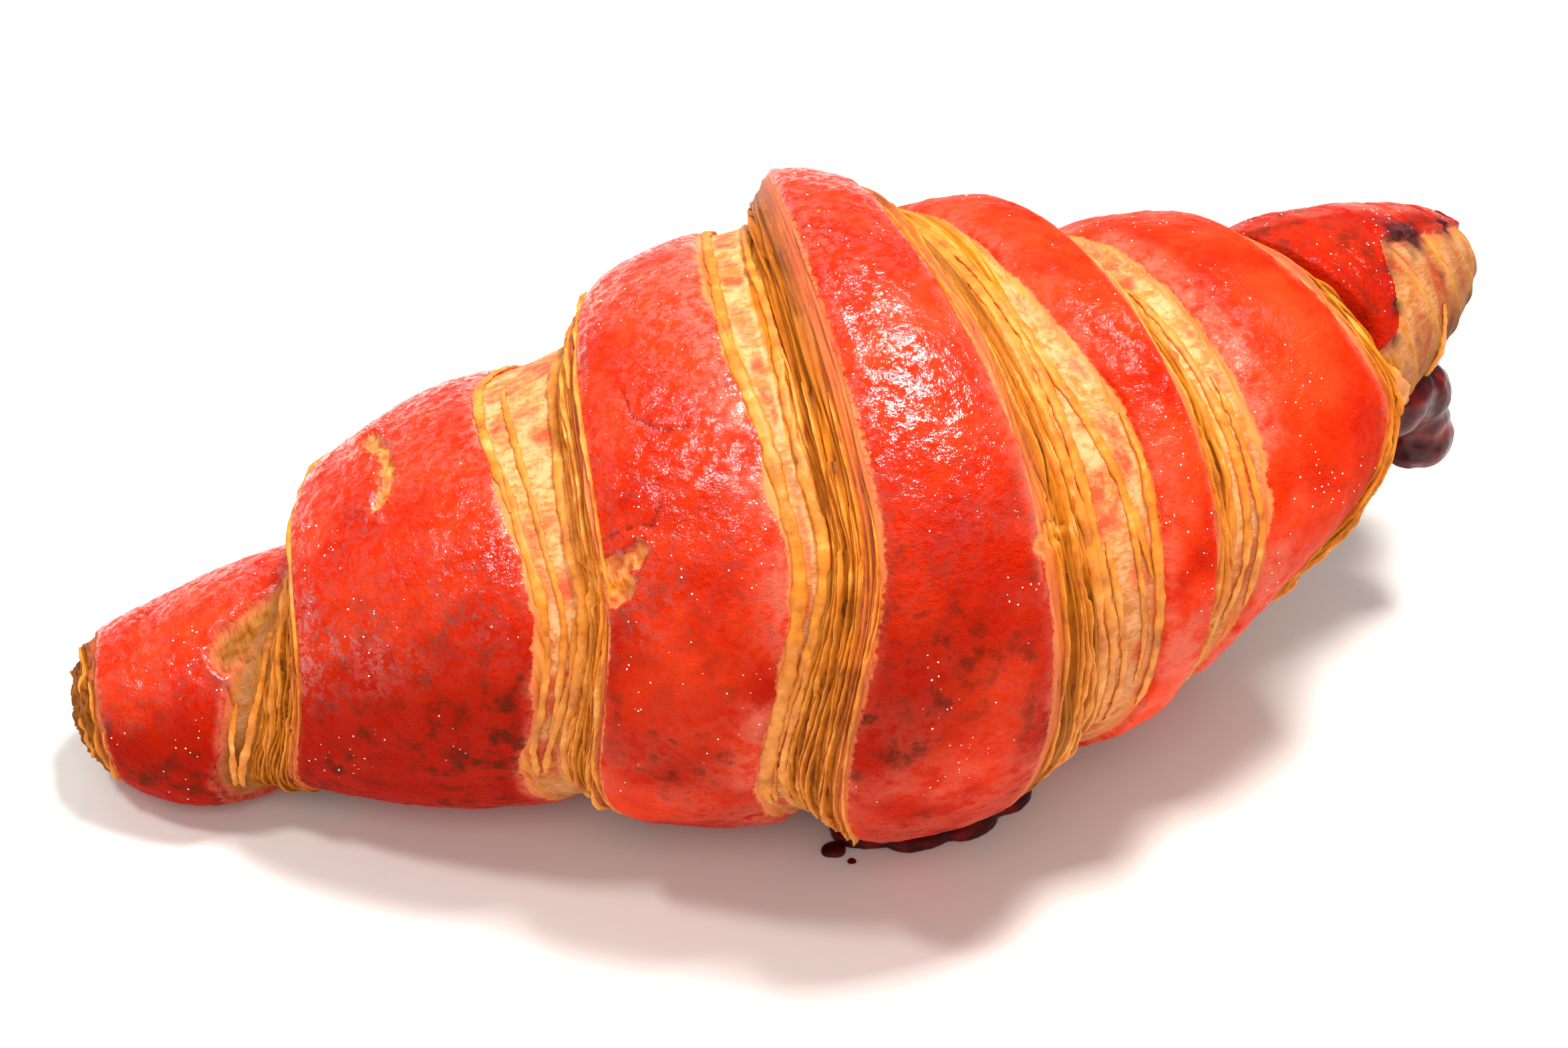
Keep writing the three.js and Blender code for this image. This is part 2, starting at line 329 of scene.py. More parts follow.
def makeMottled(name, look):  # one noise colours it, another roughens it
    material, tree = newMaterial(name)
    add = partial(addNode, tree)
    place = add("ShaderNodeTexCoord", out=3)
    streaks, bumps = (add("ShaderNodeTexNoise", {}, {
        "Vector": place, "Scale": perMillimetre(size), "Detail": detail, "Roughness": rough})
        for size, detail, rough in (look["streaks"], look["bumps"]))
    colour = add("ShaderNodeValToRGB", {"stops": look["stops"]}, {0: streaks})
    bump = add("ShaderNodeBump", {}, {
        "Height": bumps, "Strength": look["bumpStrength"], "Distance": look["bumpDepth"] * mm})
    shader = add("ShaderNodeBsdfPrincipled", {}, {
        "Base Color": colour, "Normal": bump, **look["surface"]})
    add("ShaderNodeOutputMaterial", {}, {"Surface": shader}, out=None)
    return material


# Undissolved sugar from the glaze: tiny white translucent grains that catch the light.
def makeSugar():
    material, tree = newMaterial("dried sugar glaze")
    add = partial(addNode, tree)
    shader = add("ShaderNodeBsdfPrincipled", {}, {
        "Base Color": "#fdf3ea", "Roughness": 0.2, "IOR": 1.49, "Subsurface Weight": 0.3,
        "Subsurface Radius": (0.6, 0.5, 0.5), "Subsurface Scale": 0.3 * mm})
    add("ShaderNodeOutputMaterial", {}, {"Surface": shader}, out=None)
    return material


crust = makeCrust()
leafDough = makeMottled("crisp dough leaf", leafLook)
jam = makeMottled("boiled berry jam", jamLook)
sugar = makeSugar()
print("finishes made")

# wraps: where each one starts and ends along the roll, in mm at the back, top, front, low front
edges = {
    "firstSkinEnd": (-48.0, -55.5, -66.5, -72.0),
    "secondFoot": (-50.5, -55.2, -61.8, -69.0),
    "secondRim": (-47.0, -54.2, -56.8, -63.8),
    "secondSkinEnd": (-30.0, -35.6, -31.2, -39.0),
    "thirdFoot": (-20.0, -26.0, -26.3, -34.4),
    "thirdRim": (-18.0, -23.0, -24.0, -31.0),
    "thirdSkinEnd": (-9.5, -10.0, -8.2, -17.3),
    "middleFoot": (-5.2, -6.2, -5.8, -14.2),
    "middleRim": (-4.0, -3.8, -2.8, -9.4),
    "middleRightRim": (0.5, 1.4, 5.2, 7.0),
    "middleRightFoot": (2.0, 4.2, 9.8, 14.0),
    "fifthSkinStart": (7.0, 10.4, 18.7, 18.6),
    "fifthRim": (14.0, 21.4, 25.0, 22.4),
    "fifthFoot": (17.0, 26.0, 28.8, 25.8),
    "sixthSkinStart": (20.0, 32.0, 34.0, 28.6),
    "sixthRim": (40.0, 49.0, 48.8, 35.0),
    "sixthLip": (42.0, 49.8, 51.2, 40.0),
    "tipRoot": (44.0, 50.6, 52.6, 44.0),
}
# Each wrap is a closed shell built from stations along the roll. A station is what shows there, an
# edge or a place in mm, the grid rows from the station before, and sizes in mm. height: off the
# axis, or lift: over the roll's radius. shift: past the edge. bulge: how far the rows swell.
# rise: how far this stretch stands over the axis.
def station(zone, at, rows=0, **sizes):
    return {"zone": zone, "at": at, "rows": rows, **sizes}


hidden = partial(station, "hidden")  # under the next wrap
face = partial(station, "face")  # cut through the stacked leaves
gold = partial(station, "gold")  # the outside, dyed or stretched open

usual = {  # what a wrap has unless it says otherwise
    "film": (0.0, 0.0), "filmMore": 0, "pinkMore": 0,  # no film, and how far it and its pink go
    "deepMore": 0, "deepAll": 0,  # darker red at the front, from deeper dye and painted shade, and darker dye all over
    "toast": 0, "toastedRim": 0.35, "rimCalm": 0,  # browner dough, browner and smoother top rim
    "lowSheen": 0, "fadedLeft": 0, "fadedRight": 0,  # paler low on the front as painted sheen, and where the dye is thin
    "shine": 1, "calm": 1,  # shares of the wet glaze and of the ribbons' height
    "cuts": [], "cracks": [],
}
# skin, film: the edges the dyed sheet and the thin film lie between. ragged: how far, in mm, the
# sheet's two ends wander. skinTurn: the angles it lies between, and how much further at the root.
# cuts, cracks and the painted highlight on the tip: lines of (place, angle) with a half width in
# mm. scorched: mm from the edge.
wraps = {
    "left_tip": {
        "columns": 300, "leaves": 5, "skin": (-83.0, "firstSkinEnd"), "ragged": (0.25, 0.9),
        "cuts": [((-65.6, 34), (-61.5, 22), 2.6)], "deepMore": 0.5,
        "film": ("firstSkinEnd", "secondFoot"), "filmMore": -0.15, "toast": 0.8,
        "cracks": [((-78.1, -14), (-77.7, -12), 0.6)],
        "stations": [
            hidden(-87.0, height=0),
            face(-86.6, 8, height=3.8),
            face(-85.2, 12, height=6.4),
            face(-83.0, 14, height=8.6),
            gold("secondFoot", 80, height=12.4, bulge=1.6),
            hidden("secondFoot", 6, shift=4.0, height=9.5),
            hidden(-46.0, 3, height=0),
        ],
    },
    "second_wrap": {
        "columns": 440, "leaves": 13, "skin": ("secondRim", "secondSkinEnd"), "ragged": (0.12, 0.8),
        "film": ("secondSkinEnd", "thirdFoot"), "filmMore": 0.25, "deepMore": 1.0,
        "cuts": [((-46.8, -14), (-44.3, 0), (-43.6, 10), (-45.4, 17), 0.75)],
        "stations": [
            hidden(-59.0, height=0),
            hidden("secondFoot", 3, height=8.5),
            face("secondFoot", 6, height=12.0),
            face("secondRim", 66, lift=(1.2, 2.2, 1.4, 0.0), bulge=0.5),
            gold("secondSkinEnd", 78, lift=(0.5, 0.3, 0.5, -0.4), bulge=1.2),
            gold("thirdFoot", 36, lift=-1.6),
            hidden("thirdFoot", 5, shift=3.0, lift=-5.0),
            hidden(-20.0, 3, height=0),
        ],
    },
    "third_wrap": {
        "columns": 540, "leaves": 13, "skin": ("thirdRim", "thirdSkinEnd"), "ragged": (0.12, 0.65),
        "film": ("thirdSkinEnd", "middleFoot"), "pinkMore": 0.3, "fadedRight": 0.7, "lowSheen": 0.4,
        "cuts": [((-25.5, 47), (-22.5, 48), (-20.4, 47), (-19.6, 46), 1.0),
                 ((-24.5, 52), (-22.2, 51), 1.3)],
        "cracks": [((-12.3, 27), (-14.9, 26), (-17.4, 21), (-17.9, 15), 0.0),
                   ((-23.7, 42), (-20.8, 41), (-17.7, 42), (-16.4, 39), 0.0)],
        "stations": [
            hidden(-26.0, height=0),
            hidden("thirdFoot", 3, lift=-6.0),
            face("thirdFoot", 6, lift=-1.8),
            face("thirdRim", 60, lift=(1.2, 2.4, 1.6, 0.8), bulge=0.4),
            gold("thirdSkinEnd", 54, lift=(0.4, 0.4, 0.4, 0.4), bulge=0.6),
            gold("middleFoot", 36, lift=-0.8),
            hidden("middleFoot", 5, shift=3.0, lift=-5.0),
            hidden(-2.0, 3, height=0),
        ],
    },
    "middle_wrap": {
        "columns": 640, "leaves": 12, "skin": ("middleRim", "middleRightRim"),
        "ragged": (0.15, 0.2), "toast": 0.22, "toastedRim": 0.9, "rimCalm": 0.9, "lowSheen": 0.45,
        "cuts": [((6.6, 55), (5.6, 57), 1.0)],
        "stations": [
            hidden(-5.0, height=0),
            hidden("middleFoot", 3, lift=-6.0),
            face("middleFoot", 6, lift=(-1.5, -1.4, -1.4, -1.4)),
            face("middleRim", 46, lift=(0.6, 3.8, 2.6, 2.2), bulge=0.5),
            gold("middleRightRim", 40, lift=(0.4, 1.4, 2.1, 1.4), bulge=0.9),
            face("middleRightFoot", 30, lift=(-0.8, -1.2, -1.2, -1.8), bulge=0.2),
            hidden("middleRightFoot", 5, shift=1.0, lift=-5.0),
            hidden(5.0, 3, height=0),
        ],
    },
    "fifth_wrap": {
        "columns": 520, "leaves": 6, "skin": ("fifthSkinStart", "fifthRim"), "ragged": (0.5, 0.2),
        "film": ("middleRightFoot", "fifthSkinStart"), "filmMore": 0.1, "shine": 0.16,
        "fadedLeft": 0.5, "lowSheen": 1.0, "deepMore": -0.9,
        "stations": [
            hidden(3.0, height=0),
            hidden("middleRightFoot", 3, shift=-3.0, lift=-5.0),
            gold("middleRightFoot", 4, shift=-1.5, lift=(-1.6, -1.6, -1.6, -2.4)),
            gold("fifthSkinStart", 46, lift=(-0.5, -0.5, -0.5, -1.6), bulge=0.2),
            gold("fifthRim", 30, lift=(1.6, 3.2, 1.8, -1.6), bulge=0.5),
            face("fifthFoot", 26, lift=(-1.2, -1.2, -1.2, -3.2)),
            hidden("fifthFoot", 5, shift=2.5, lift=-5.0),
            hidden(22.0, 3, height=0),
        ],
    },
    "sixth_wrap": {
        "columns": 440, "leaves": 6, "skin": ("sixthSkinStart", "sixthRim"), "ragged": (0.6, 0.25),
        "film": ("fifthFoot", "sixthSkinStart"), "shine": 0.14,
        "fadedLeft": 0.9, "lowSheen": 0.8, "deepMore": -0.5,
        "stations": [
            hidden(22.0, height=0),
            hidden("fifthFoot", 3, shift=-3.0, lift=-5.0),
            gold("fifthFoot", 4, shift=-1.5, lift=(-2.2, -2.2, -2.2, -4.0)),
            gold("sixthSkinStart", 26, lift=(-0.4, -0.4, -0.4, -3.0)),
            gold("sixthRim", 60, lift=(2.0, 3.6, 2.2, -5.6), bulge=0.8),
            face("sixthLip", 20, lift=(-1.0, 0.6, 1.6, -5.0), bulge=0.4),
            face("tipRoot", 30, height=12.0, bulge=0.4, rise=6.4),
            hidden(47.0, 4, height=0, rise=6.4),
        ],
    },
    "right_tip": {
        "columns": 300, "leaves": 6, "skin": (40.0, 74.6), "ragged": (0.3, 0.5),
        "skinTurn": (-140, 22, 42), "film": (44.0, 80.0), "filmMore": 0.1, "calm": 0.35,
        "shine": 0.2, "scorched": 1.9, "toast": 0.45, "deepAll": 0.7,
        # painted highlight: a pale patch along the top of the tip
        "tipHighlight": ((59.0, -22), (67.0, -12), 0.5),
        "stations": [
            hidden(47.0, height=0, rise=6.4),
            hidden("tipRoot", 3, shift=-2.0, height=10.0, rise=6.4),
            hidden("tipRoot", 4, height=14.2, rise=6.4),
            gold(56.0, 26, height=13.0, rise=6.2),
            gold(61.0, 20, height=11.3, rise=5.0),
            gold(66.0, 20, height=9.2, rise=3.9),
            gold(70.0, 16, height=7.1, rise=3.1),
            gold(73.0, 12, height=5.0, rise=2.6),
            gold(74.7, 8, height=2.9, rise=2.3),
            gold(75.2, 4, height=0, rise=2.2),
        ],
    },
}


def placeOf(at, degrees):
    return roundTheRoll(edges.get(at, at) if isinstance(at, str) else float(at), degrees)


def stationHeight(station, x, degrees):
    if "height" in station:
        return np.full_like(degrees, float(station["height"]))
    return rollRadius(x) + roundTheRoll(station.get("lift", 0.0), degrees)


def distanceToCut(cut, x, degrees):  # mm to a line of (place, angle) points, less its half width
    points, halfWidth = cut[:-1], cut[-1]
    around = rollRadius(x) * np.pi / 180
    best = np.full_like(x, 99.0)
    for (x0, d0), (x1, d1) in zip(points, points[1:]):
        ax = x - x0
        ay = (degrees - d0) * around
        bx = x1 - x0
        by = (d1 - d0) * around
        t = np.clip((ax * bx + ay * by) / (bx * bx + by * by), 0, 1)
        best = np.minimum(best, np.hypot(ax - t * bx, ay - t * by))
    return best - halfWidth


# stacked leaf edges: how high the crests are, how much painted shade falls in the grooves, and each
# leaf's own step
def leafField(phase, ringPoint, seed):
    leaf = np.floor(phase)
    part = phase - leaf
    # each leaf has a height and a fading of its own, and both drift slowly round the ring
    own = np.concatenate([leaf[..., None] * 3.7, ringPoint[..., 1:] / 9.0], -1)
    step = noise(own, 1.0, seed)
    fade = 0.55 + 0.45 * noise(own * 1.7, 1.0, seed + 3)
    crest = np.sin(np.pi * part ** (1 + 0.5 * step)) ** 0.6
    return crest * fade, 1 - crest * (0.55 + 0.45 * fade), step


bakeSeed = 7
seedsPerWrap = 31  # every noise in a wrap has a seed of its own
patternRing = 25.0  # mm, patterns are laid on a roll of this radius
stretch = (1.0, 0.14, 0.14)  # and drawn out along the leaves
restStep = 0.02  # mm, each wrap rests a hair over the one before


# one row of the grid for each step between two stations, with the poles on the axis left off
def stationGrid(wrap, degrees):
    rows = []
    for before, here in zip(wrap["stations"], wrap["stations"][1:]):
        x0 = placeOf(before["at"], degrees) + before.get("shift", 0)
        x1 = placeOf(here["at"], degrees) + here.get("shift", 0)
        h0 = stationHeight(before, x0, degrees)
        h1 = stationHeight(here, x1, degrees)
        rise0 = before.get("rise", 0)
        rise1 = here.get("rise", 0)
        tipEnd = here["zone"] != "hidden" and h0.max() < 1
        for k in range(1, here["rows"] + 1):
            t = k / here["rows"]
            along = 1 - math.cos(t * math.pi / 2) if tipEnd else t  # a tip's end is rounded off
            up = math.sin(t * math.pi / 2) if tipEnd else t
            swell = here.get("bulge", 0) * math.sin(math.pi * t)
            edge = min(1, 6 * min(t, 1 - t) + 0.25)
            rows.append((x0 + (x1 - x0) * along, h0 + (h1 - h0) * up + swell,
                         [rise0 + (rise1 - rise0) * t], [edge * (here["zone"] == "face")],
                         [edge * (here["zone"] == "gold")], [t * (here["zone"] == "face")]))
    names = ("xs", "heights", "rises", "face", "gold", "across")
    grid = SimpleNamespace(**{key: np.array(v)[:-1] for key, v in zip(names, zip(*rows))})
    grid.degrees = degrees
    grid.angles = np.broadcast_to(degrees, grid.xs.shape)
    grid.shown = np.maximum(grid.face, grid.gold)
    grid.base = rollPoint(grid.xs, grid.angles, grid.heights, grid.rises)
    middle = axisPoint(grid.xs)
    middle[..., 2] += grid.rises
    alongRows = np.gradient(grid.base, axis=0)
    aroundRing = np.roll(grid.base, -1, axis=1) - np.roll(grid.base, 1, axis=1)
    out = unit(np.cross(aroundRing, alongRows))
    grid.out = out * np.sign(np.sum(out * (grid.base - middle), axis=-1, keepdims=True).mean())
    turn = np.radians(grid.angles)
    around = [patternRing * np.cos(turn), patternRing * np.sin(turn)]
    grid.ringPoint = np.stack([grid.xs, *around], -1)
    grid.stretched = grid.ringPoint * stretch
    return grid


tearing = {  # mm
    "leftWave": 4.0, "rightWave": 5.0,  # how long the rags at the sheet's two ends are
    "turnRag": 1.1, "turnWave": 6.0, "root": (61, 54), "narrowest": 3.0,
    "chipRag": 0.7, "chipWave": 1.8, "chipBlend": 0.3,
    "crackWobble": 0.25, "crackWave": 1.5, "crackWidth": (0.28, 0.05),
    "edgeBlend": (-0.05, 0.3), "farOff": 9.0,
}


# where the dyed sheet ends, in mm inside its torn edges, and where it is chipped or cracked
def tearSheet(wrap, grid, seed):
    tear = tearing
    left, right = wrap["skin"]
    leftRag, rightRag = wrap["ragged"]
    oneRing = grid.ringPoint[0] * (0, 1, 1)
    leftRag = leftRag * cloud(oneRing, tear["leftWave"], seed + 1)
    rightRag = rightRag * cloud(oneRing, tear["rightWave"], seed + 2, 4)
    grid.leftGap = grid.xs - (placeOf(left, grid.degrees) + leftRag)
    grid.rightGap = placeOf(right, grid.degrees) + rightRag - grid.xs
    torn = np.minimum(grid.leftGap, grid.rightGap)
    if "skinTurn" in wrap:  # a sheet that also stops part way round, further round at its root
        first, last, moreAtRoot = wrap["skinTurn"]
        last = last + moreAtRoot * ease(*tear["root"], grid.xs)
        perDegree = np.maximum(grid.heights, tear["narrowest"]) * math.pi / 180
        ragged = tear["turnRag"] * cloud(grid.ringPoint * (1, 0.2, 0.2), tear["turnWave"], seed + 4)
        inside = np.minimum(grid.angles - first, last - grid.angles) * perDegree
        torn = np.minimum(torn, inside + ragged)
    chipped = np.full_like(grid.xs, tear["farOff"])
    for cut in wrap["cuts"]:
        ragged = tear["chipRag"] * cloud(grid.base, tear["chipWave"], seed + 5)
        chipped = np.minimum(chipped, distanceToCut(cut, grid.xs, grid.angles) + ragged)
    grid.crack = np.zeros_like(grid.xs)
    for line in wrap["cracks"]:
        wobble = tear["crackWobble"] * noise(grid.base, tear["crackWave"], seed + 25)
        away = np.abs(distanceToCut(line, grid.xs, grid.angles) + wobble)
        grid.crack = np.maximum(grid.crack, ease(*tear["crackWidth"], away))
    grid.torn = np.minimum(torn, chipped)
    grid.skin = ease(*tear["edgeBlend"], grid.torn)
    grid.chip = ease(tear["chipBlend"], -tear["chipBlend"], chipped)


doughRelief = {  # heights and sizes in mm
    "crest": 0.42, "leafStep": 0.7, "sunk": 0.2, "rim": (0.3, 0.6), "rimFront": (35, 5),
    "ribbonWidth": 1.9, "ribbonCrest": 0.4, "ribbonStep": 0.35, "line": 0.05,
    "filmSunk": 0.35, "thread": 0.16, "filmLeft": (0.5, 1.5), "filmRight": (0.2, 1.3),
    "sheet": 0.5, "lip": 0.18, "crack": 0.3, "chipSunk": 0.35, "crumb": 0.45,
    "waves": 0.4, "blisters": 0.12, "pimples": 0.08,  # how high they are
    "waveSize": 14.0, "blisterSize": 2.6, "pimpleSize": 1.1, "crumbSize": 1.3,
}


# how far each point stands off the roll, and how much painted shade it gets between two leaves
def raiseDough(wrap, grid, seed):
    size = doughRelief
    base, stretched, skin, chip = grid.base, grid.stretched, grid.skin, grid.chip
    # stacked leaves on the cut faces, calmer where the rim is toasted together
    wander = 1.5 * noise(stretched, 4.5, seed + 6) + 0.35 * noise(stretched, 1.3, seed + 7)
    crest, groove, step = leafField(grid.across * wrap["leaves"] + wander, grid.ringPoint, seed + 8)
    grid.rimTop = ease(*size["rim"], grid.across) * ease(1.0, 0.92, grid.across) * grid.face
    grid.rimTop = grid.rimTop * ease(*size["rimFront"], grid.angles)
    calm = 1 - 0.8 * grid.rimTop * wrap["rimCalm"]
    faceLift = (size["crest"] * crest + size["leafStep"] * step - size["sunk"]) * calm
    groove = groove * calm
    # broad pulled ribbons on the stretched dough, and the thin film of crumb between them
    phase = grid.xs / size["ribbonWidth"] + 1.7 * noise(stretched, 6.0, seed + 9)
    phase = phase + 0.3 * noise(stretched, 1.6, seed + 10)
    ribbon, ribbonGroove, ribbonStep = leafField(phase, grid.ringPoint * (1, 0.6, 0.6), seed + 11)
    lines = noise(stretched * (1, 0.5, 0.5), 0.5, seed + 12)
    filmLeft, filmRight = (placeOf(at, grid.degrees) for at in wrap["film"])
    film = ease(*size["filmLeft"], grid.xs - filmLeft) * grid.gold
    film = film * ease(*size["filmRight"], filmRight - grid.xs)
    film = film * ease(-0.45, 0.05, noise(stretched, 7.0, seed + 18) + wrap["filmMore"])
    threads = size["thread"] * cloud(grid.ringPoint * (0.6, 1, 1), 1.2, seed + 19)
    ribbonLift = size["ribbonCrest"] * ribbon + size["ribbonStep"] * ribbonStep
    ribbonLift = ribbonLift + size["line"] * lines
    goldLift = (1 - film) * ribbonLift + film * (threads - size["filmSunk"]) - size["sunk"]
    goldLift = goldLift * wrap["calm"]
    # the dyed sheet: slow waves from proving, small blisters, a lip where it is torn
    sheet = size["waves"] * cloud(base, size["waveSize"], seed + 13)
    sheet = sheet + size["blisters"] * noise(base, size["blisterSize"], seed + 14)
    sheet = sheet + size["pimples"] * noise(base, size["pimpleSize"], seed + 15)
    lip = size["lip"] * np.exp(-((grid.torn - 0.45) / 0.5) ** 2)
    sheetLift = (size["sheet"] + sheet + lip - size["crack"] * grid.crack) * skin
    # loose crumb in the chips
    crumbLift = size["crumb"] * cloud(base, size["crumbSize"], seed + 28) - size["chipSunk"]
    openLift = (1 - chip) * (grid.face * faceLift + grid.gold * goldLift) + chip * crumbLift
    # painted shade: darker in the chips with uneven crumb, and between the leaves and the ribbons
    crumb = chip * (0.15 + 0.8 * cloud(base, 1.1, seed + 23))
    ribbonDepth = grid.gold * (1 - film) * (0.7 * ribbonGroove - 0.1 * lines)
    grid.film = film
    grid.lift = sheetLift * grid.shown + (1 - skin) * openLift
    grid.groove = (1 - skin) * (crumb + (1 - chip) * (grid.face * (groove + 0.12) + ribbonDepth))


# baked colour and painted light: shade towards the front and on the lower sides, sheen low on the
# front, a highlight on the tip
bakingAndPaintedLight = {  # how strong each one is, and the angles round the roll between which it comes in
    "tray": 0.35, "trayAngles": (110, 165), "sides": 0.4, "sideAngles": (40, 105),
    "frontShadeAngles": (15, 90), "lowSheenAngles": (62, 104), "edgeFade": 0.8, "tornFade": 0.25,
    "tipHighlight": 1.4, "burntDough": 0.6, "crackDark": 0.45, "darkest": 0.92,
    "wetAngles": (74, 36), "wet": 0.95, "wetPatches": 0.8, "sugarAngles": (120, 80),
}


# what the crust material reads at each point, each from 0 to 1 but for skin, which is in mm
def bakeValues(wrap, grid, seed):
    bake = bakingAndPaintedLight
    base, skin, angles = grid.base, grid.skin, grid.angles
    low = ease(*bake["trayAngles"], abs(angles))  # the underside sits on the tray
    burnt = 0
    if "scorched" in wrap:  # dark spots where the sugar caught, along the low end of the sheet
        nearEdge = np.exp(-((grid.torn - 0.5) / wrap["scorched"]) ** 2)
        burnt = ease(-0.1, 0.25, noise(base, 3.2, seed + 20)) * nearEdge
        spots = ease(0.1, 0.6, cloud(base, 5.0, seed + 27))
        burnt = burnt + bake["burntDough"] * (1 - skin) * spots
    pinkFilm = ease(-0.3, 0.4, noise(base, 5.0, seed + 21) + wrap["pinkMore"])
    toast = grid.rimTop * wrap["toastedRim"] + bake["tray"] * low + wrap["toast"]
    # the lower sides darker: browning and painted shade
    toast = toast + bake["sides"] * ease(*bake["sideAngles"], abs(angles))
    deep = ease(-0.6, 0.3, noise(base, 18.0, seed + 16) + wrap["deepMore"])
    # darker red towards the front: random deeper dye, and painted shade by angle round the roll
    deep = ease(*bake["frontShadeAngles"], angles) * deep * (1 - low) + wrap["deepAll"]
    # paler: thin dye near the torn edges, painted sheen low on the front, and a painted highlight
    # on the tip
    faded = (wrap["lowSheen"] * ease(*bake["lowSheenAngles"], angles)
             + wrap["fadedLeft"] * ease(5.0, 0.5, grid.leftGap)
             + wrap["fadedRight"] * ease(4.0, 0.5, grid.rightGap)
             + bake["edgeFade"] * ease(1.3, 0.1, grid.rightGap)
             + bake["tornFade"] * ease(0.8, 0.1, grid.torn))
    if "tipHighlight" in wrap:  # painted highlight: a pale patch on the top of the tip
        highlit = ease(3.2, -0.5, distanceToCut(wrap["tipHighlight"], grid.xs, angles))
        faded = faded + bake["tipHighlight"] * highlit
    wet = ease(*bake["wetAngles"], abs(angles)) * wrap["shine"]
    wet = wet * (bake["wet"] + bake["wetPatches"] * noise(base, 6.0, seed + 22))
    sugared = ease(*bake["sugarAngles"], abs(angles))
    sugared = sugared * ease(-0.3, 0.5, noise(base, 8.0, seed + 24)) ** 2
    return {
        "skin": np.clip(grid.torn, -4, 4),
        "groove": grid.groove,
        "film": (1 - skin) * grid.film * (0.5 + 0.5 * pinkFilm),
        "toast": np.clip(toast, 0, 1),
        "deep": deep,
        "faded": np.clip(faded, 0, 1) * ease(-0.7, 0.3, noise(base, 6.0, seed + 17)),
        # char: scorched spots, and the cracks drawn darker
        "char": np.clip(burnt + bake["crackDark"] * grid.crack * skin, 0, bake["darkest"]),
        "crumbs": grid.gold * (1 - skin) * ease(0.0, 0.6, noise(base, 5.0, seed + 26)),
        "grains": grid.shown * skin * sugared,
        "wet": np.clip(wet, 0.02, 1),
    }


def closeShell(rows, columns):  # quads between the rows, and a fan to the pole at each end
    ring = np.arange(columns)
    after = (ring + 1) % columns
    row = columns * np.arange(rows - 1)[:, None]
    quads = np.stack([row + ring, row + after, row + columns + after, row + columns + ring], -1)
    last = columns * (rows - 1)
    pole = np.full(columns, rows * columns)
    leftFan = np.stack([pole, after, ring], -1)
    rightFan = np.stack([pole + 1, last + ring, last + after], -1)
    return quads.reshape(-1, 4).tolist() + leftFan.tolist() + rightFan.tolist()


def buildWrap(name, wrap, order):
    seed = bakeSeed + seedsPerWrap * order
    grid = stationGrid(wrap, np.linspace(-180, 180, wrap["columns"], endpoint=False))
    tearSheet(wrap, grid, seed)
    raiseDough(wrap, grid, seed)
    points = grid.base + grid.out * grid.lift[..., None]
    points[..., 2] = np.maximum(points[..., 2], restStep * order)  # flat where it rests
    poles = []
    for end in (wrap["stations"][0], wrap["stations"][-1]):
        x = np.array([placeOf(end["at"], grid.degrees)[0]])
        poles.append(rollPoint(x, np.zeros(1), np.zeros(1), end.get("rise", 0))[0])
    vertices = np.concatenate([points.reshape(-1, 3), poles]) + rollShift
    data = {key: np.append(values.ravel(), [0, 0])
            for key, values in bakeValues(wrap, grid, seed).items()}
    data["grain"] = np.concatenate([grid.stretched.reshape(-1, 3), np.zeros((2, 3))]) * mm
    piece = makeMesh(name, vertices, closeShell(*grid.xs.shape), data, crust)
    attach(piece, "root")
    return {"piece": piece, "points": points + rollShift, "out": grid.out, "xs": grid.xs,
            "degrees": grid.degrees, "shown": grid.shown[:, 0] > 0}


built = {name: buildWrap(name, {**usual, **wrap}, k)
         for k, (name, wrap) in enumerate(wraps.items())}
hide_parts("croissant")
print("wraps built:", {name: len(b["piece"].data.polygons) for name, b in built.items()})


def nodeTree(name, sockets):
    tree = bpy.data.node_groups.new(name, "GeometryNodeTree")
    tree.interface.new_socket("Geometry", in_out="INPUT", socket_type="NodeSocketGeometry")
    ids = {key: tree.interface.new_socket(key, in_out="INPUT", socket_type="NodeSocket" + kind)
           .identifier for key, kind in sockets.items()}
    tree.interface.new_socket("Geometry", in_out="OUTPUT", socket_type="NodeSocketGeometry")
    add = partial(addNode, tree)
    given = {socket.name: socket for socket in add("NodeGroupInput", out=None).outputs}
    return tree, add, given, ids


def endTree(add, geometry, finish):  # every tree ends in real faces with their finish
    real = add("GeometryNodeRealizeInstances", {}, {"Geometry": geometry})
    dressed = add("GeometryNodeSetMaterial", {}, {"Geometry": real, "Material": finish})
    add("NodeGroupOutput", {}, {0: dressed}, out=None)


